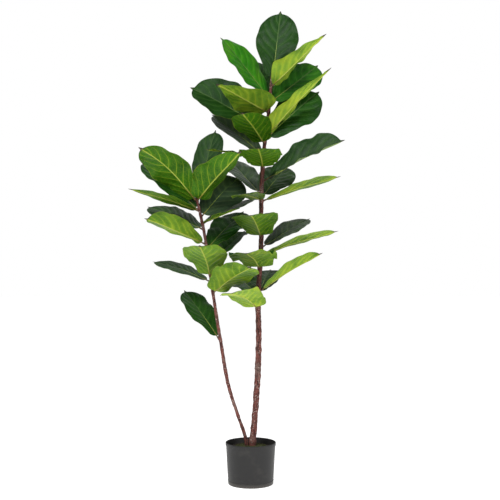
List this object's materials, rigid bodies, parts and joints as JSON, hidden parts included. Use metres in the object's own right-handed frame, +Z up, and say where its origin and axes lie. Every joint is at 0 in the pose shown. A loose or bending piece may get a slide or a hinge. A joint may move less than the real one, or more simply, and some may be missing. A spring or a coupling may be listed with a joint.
{
  "type": "potted fiddle leaf fig",
  "caption": "Tall potted fiddle leaf fig: a main stem and a slimmer side stem carry broad ribbed leaves above bare lower stems, in a plain dark round pot.",
  "frame": {"origin": "middle of the flat underside of the pot", "axes": "+Z up along the plant, +X to the plant's right as seen from the front, +Y to its back"},
  "size_m": [0.74, 0.4564, 1.6565],
  "materials": {
    "pot": "satin",
    "soil": "matte",
    "moss": "matte",
    "bark": "matte",
    "leaf": "satin"
  },
  "bodies": {
    "root": {"pot": "pot", "soil": "soil", "moss": "moss", "main_stem": "bark", "side_stem": "bark", "leaf_main_01": "leaf", "leaf_main_02": "leaf", "leaf_main_03": "leaf", "leaf_main_04": "leaf", "leaf_main_05": "leaf", "leaf_main_06": "leaf", "leaf_main_07": "leaf", "leaf_main_08": "leaf", "leaf_main_09": "leaf", "leaf_main_10": "leaf", "leaf_main_11": "leaf", "leaf_main_12": "leaf", "leaf_main_13": "leaf", "leaf_main_14": "leaf", "leaf_main_15": "leaf", "leaf_main_16": "leaf", "leaf_main_17": "leaf", "leaf_main_18": "leaf", "leaf_main_19": "leaf", "leaf_main_20": "leaf", "leaf_main_21": "leaf", "leaf_main_22": "leaf", "leaf_main_23": "leaf", "leaf_main_24": "leaf", "leaf_main_25": "leaf", "leaf_main_26": "leaf", "leaf_side_01": "leaf", "leaf_side_02": "leaf", "leaf_side_03": "leaf", "leaf_side_04": "leaf", "leaf_side_05": "leaf", "leaf_side_06": "leaf", "leaf_side_07": "leaf", "leaf_side_08": "leaf", "leaf_side_09": "leaf", "leaf_side_10": "leaf", "leaf_side_11": "leaf", "leaf_side_12": "leaf", "leaf_side_13": "leaf", "leaf_side_14": "leaf", "leaf_side_15": "leaf", "leaf_side_16": "leaf"}
  },
  "joints": []
}
